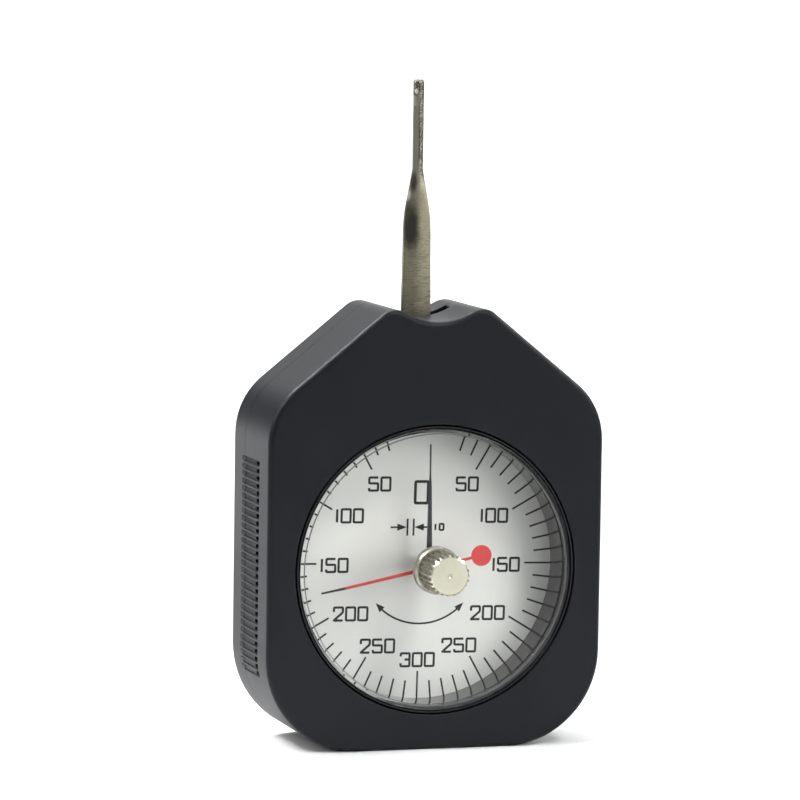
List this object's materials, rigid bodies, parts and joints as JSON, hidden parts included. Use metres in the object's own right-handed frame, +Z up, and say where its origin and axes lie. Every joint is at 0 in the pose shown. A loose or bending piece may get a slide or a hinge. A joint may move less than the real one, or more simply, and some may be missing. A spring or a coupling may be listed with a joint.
{
  "type": "dial tension gauge",
  "caption": "Hand-held force gauge: a sprung feeler lever turns a pointer over a two-sided dial, and a drag pointer with a reset knob keeps the peak reading.",
  "frame": {"origin": "middle of the casing's flat foot", "axes": "+Z up along the feeler lever, +Y from the dial towards the back, +X to the right as the dial is read"},
  "size_m": [0.062, 0.0322, 0.1186],
  "materials": {
    "front_shell": "satin black plastic",
    "rear_cover": "satin black plastic",
    "bezel_ring": "matt black",
    "crystal": "clear plastic",
    "dial_plate": "silver grained dial",
    "force_pointer": "matt black",
    "drag_pointer": "matt red",
    "reset_knob": "bright nickel",
    "feeler_lever": "brushed",
    "steel_parts": "turned",
    "brass_parts": "turned",
    "plates": "stamped",
    "springs": "drawn wire",
    "case_screws": "dull"
  },
  "bodies": {
    "casing": {"front_shell": "front_shell", "rear_cover": "rear_cover", "stop_pin_left": "steel_parts", "stop_pin_right": "steel_parts", "hairspring_stud": "brass_parts", "spring_post_left": "brass_parts", "spring_post_right": "brass_parts", "pivot_bush_front": "brass_parts", "pivot_bush_rear": "brass_parts", "arbor_bush_front": "brass_parts", "arbor_bush_rear": "brass_parts", "mounting_plate": "plates", "bridge_plate": "plates", "hairspring": "springs", "return_spring_left": "springs", "return_spring_right": "springs", "case_screw_1": "case_screws", "bridge_screw_1": "case_screws", "pillar_1": "brass_parts", "case_screw_2": "case_screws", "bridge_screw_2": "case_screws", "pillar_2": "brass_parts", "case_screw_3": "case_screws", "bridge_screw_3": "case_screws", "pillar_3": "brass_parts", "case_screw_4": "case_screws", "bridge_screw_4": "case_screws", "pillar_4": "brass_parts"},
    "lever": {"feeler_lever": "feeler_lever", "lever_hub": "brass_parts", "pivot_shaft": "steel_parts", "sector_gear": "brass_parts", "lever_rivet_1": "steel_parts", "lever_rivet_2": "steel_parts", "spring_pin": "steel_parts"},
    "pointer": {"pointer_arbor": "steel_parts", "pointer_hub": "brass_parts", "force_pointer": "force_pointer", "hairspring_collet": "brass_parts"},
    "dial_unit": {"dial_plate": "dial_plate", "crystal": "crystal", "bezel_ring": "bezel_ring"},
    "peak_pointer": {"reset_knob": "reset_knob", "knob_spindle": "steel_parts", "drag_pointer": "drag_pointer", "spindle_washer": "steel_parts"}
  },
  "joints": [
    {"name": "lever_pivot", "type": "hinge", "parent": "casing", "child": "lever", "pos_m": [0, 0.006, 0.0642], "axis": [0, 1, 0], "range_deg": [-12, 12], "stiffness_Nm_per_rad": 0.745, "deforming": ["return_spring_left", "return_spring_right", "hairspring"]},
    {"name": "pointer_spin", "type": "hinge", "parent": "casing", "child": "pointer", "pos_m": [0, -0.007, 0.0322], "axis": [0, 1, 0], "range_deg": [-185, 185]},
    {"name": "dial_turn", "type": "hinge", "parent": "casing", "child": "dial_unit", "pos_m": [0, -0.002, 0.0322], "axis": [0, 1, 0], "continuous": true},
    {"name": "reset_knob_turn", "type": "hinge", "parent": "dial_unit", "child": "peak_pointer", "pos_m": [0, -0.012, 0.0322], "axis": [0, 1, 0], "continuous": true}
  ],
  "couplings": [
    {"joint": "pointer_spin", "follows": "lever_pivot", "ratio": -15}
  ]
}
